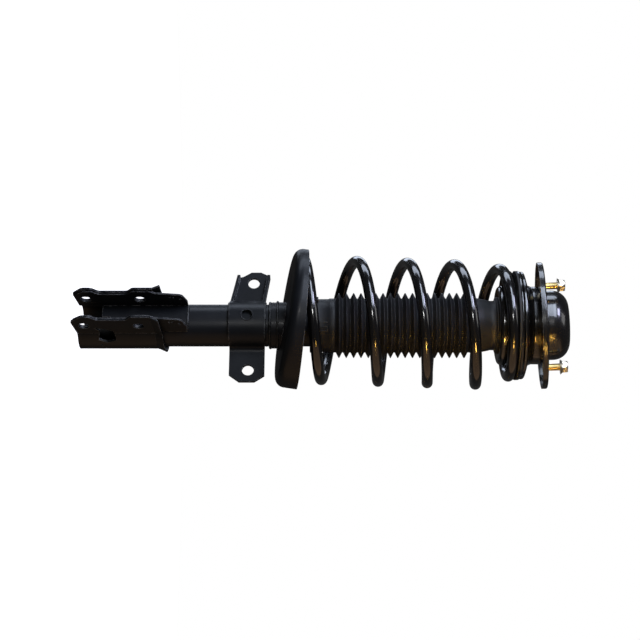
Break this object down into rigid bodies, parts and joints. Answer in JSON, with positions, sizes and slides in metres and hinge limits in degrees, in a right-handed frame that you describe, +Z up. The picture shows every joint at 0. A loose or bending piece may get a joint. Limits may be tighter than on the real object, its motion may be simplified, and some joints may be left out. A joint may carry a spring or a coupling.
{
  "type": "strut assembly",
  "caption": "Complete MacPherson strut: damper with knuckle clamp and ear bracket, coil spring, dust boot, bearing and tilted studded top mount.",
  "frame": {"origin": "centre of the top mount flange's upper face, on the damper axis", "axes": "+Z up the damper axis towards the body of the car, -Y the way the knuckle clamp opens, +X square to its plates"},
  "size_m": [0.1686, 0.1792, 0.5966],
  "materials": {
    "mount_paint": "semi-gloss black electro-coat",
    "gloss_paint": "gloss black powder coat",
    "satin_paint": "satin black paint",
    "rubber": "matte black rubber",
    "boot_rubber": "matte black moulded rubber",
    "foam": "cellular polyurethane",
    "plastic": "black glass-filled nylon",
    "steel": "machined steel",
    "chrome": "hard chrome",
    "yellow_zinc": "yellow zinc plate",
    "pale_zinc": "pale zinc plate",
    "bronze": "sintered bronze with a PTFE face"
  },
  "bodies": {
    "top_mount": {"mount_flange_plate": "mount_paint", "mount_lower_cup": "mount_paint", "mount_rubber": "rubber", "mount_inner_sleeve": "steel", "tower_studs": "yellow_zinc", "tower_nuts": "pale_zinc", "rod_nut": "pale_zinc", "rod_washer": "steel", "bump_stop_plate": "steel", "piston_rod": "chrome", "bump_stop": "foam", "piston": "steel", "piston_band": "plastic", "piston_nut": "steel", "rebound_stop": "rubber", "bearing_upper_race": "steel", "bearing_cover": "gloss_paint"},
    "bearing_ball_set": {"bearing_balls": "chrome", "bearing_cage": "plastic"},
    "spring_seat": {"bearing_lower_race": "plastic", "upper_spring_seat": "gloss_paint", "upper_spring_pad": "rubber", "coil_spring": "gloss_paint", "dust_boot": "boot_rubber"},
    "strut": {"strut_tube": "satin_paint", "tube_end_cup": "satin_paint", "inner_tube": "steel", "base_valve": "steel", "rod_guide": "steel", "rod_bushing": "bronze", "rod_seal": "rubber", "tube_cap": "plastic", "seat_collar": "satin_paint", "lower_spring_seat": "satin_paint", "lower_spring_pad": "rubber", "ear_bracket": "satin_paint", "knuckle_bracket": "satin_paint", "knuckle_bracket_liner": "satin_paint"}
  },
  "joints": [
    {"name": "bearing_turn", "type": "hinge", "parent": "top_mount", "child": "spring_seat", "pos_m": [0, 0, 0], "axis": [0, 0, 1], "continuous": true},
    {"name": "ball_turn", "type": "hinge", "parent": "top_mount", "child": "bearing_ball_set", "pos_m": [0, 0, 0], "axis": [0, 0, 1], "continuous": true},
    {"name": "damper_stroke", "type": "slide", "parent": "spring_seat", "child": "strut", "axis": [0, 0, 1], "range_m": [0, 0.12], "stiffness_N_per_m": 25000, "deforming": ["coil_spring", "dust_boot"]}
  ],
  "couplings": [
    {"joint": "ball_turn", "follows": "bearing_turn", "ratio": 0.5}
  ]
}
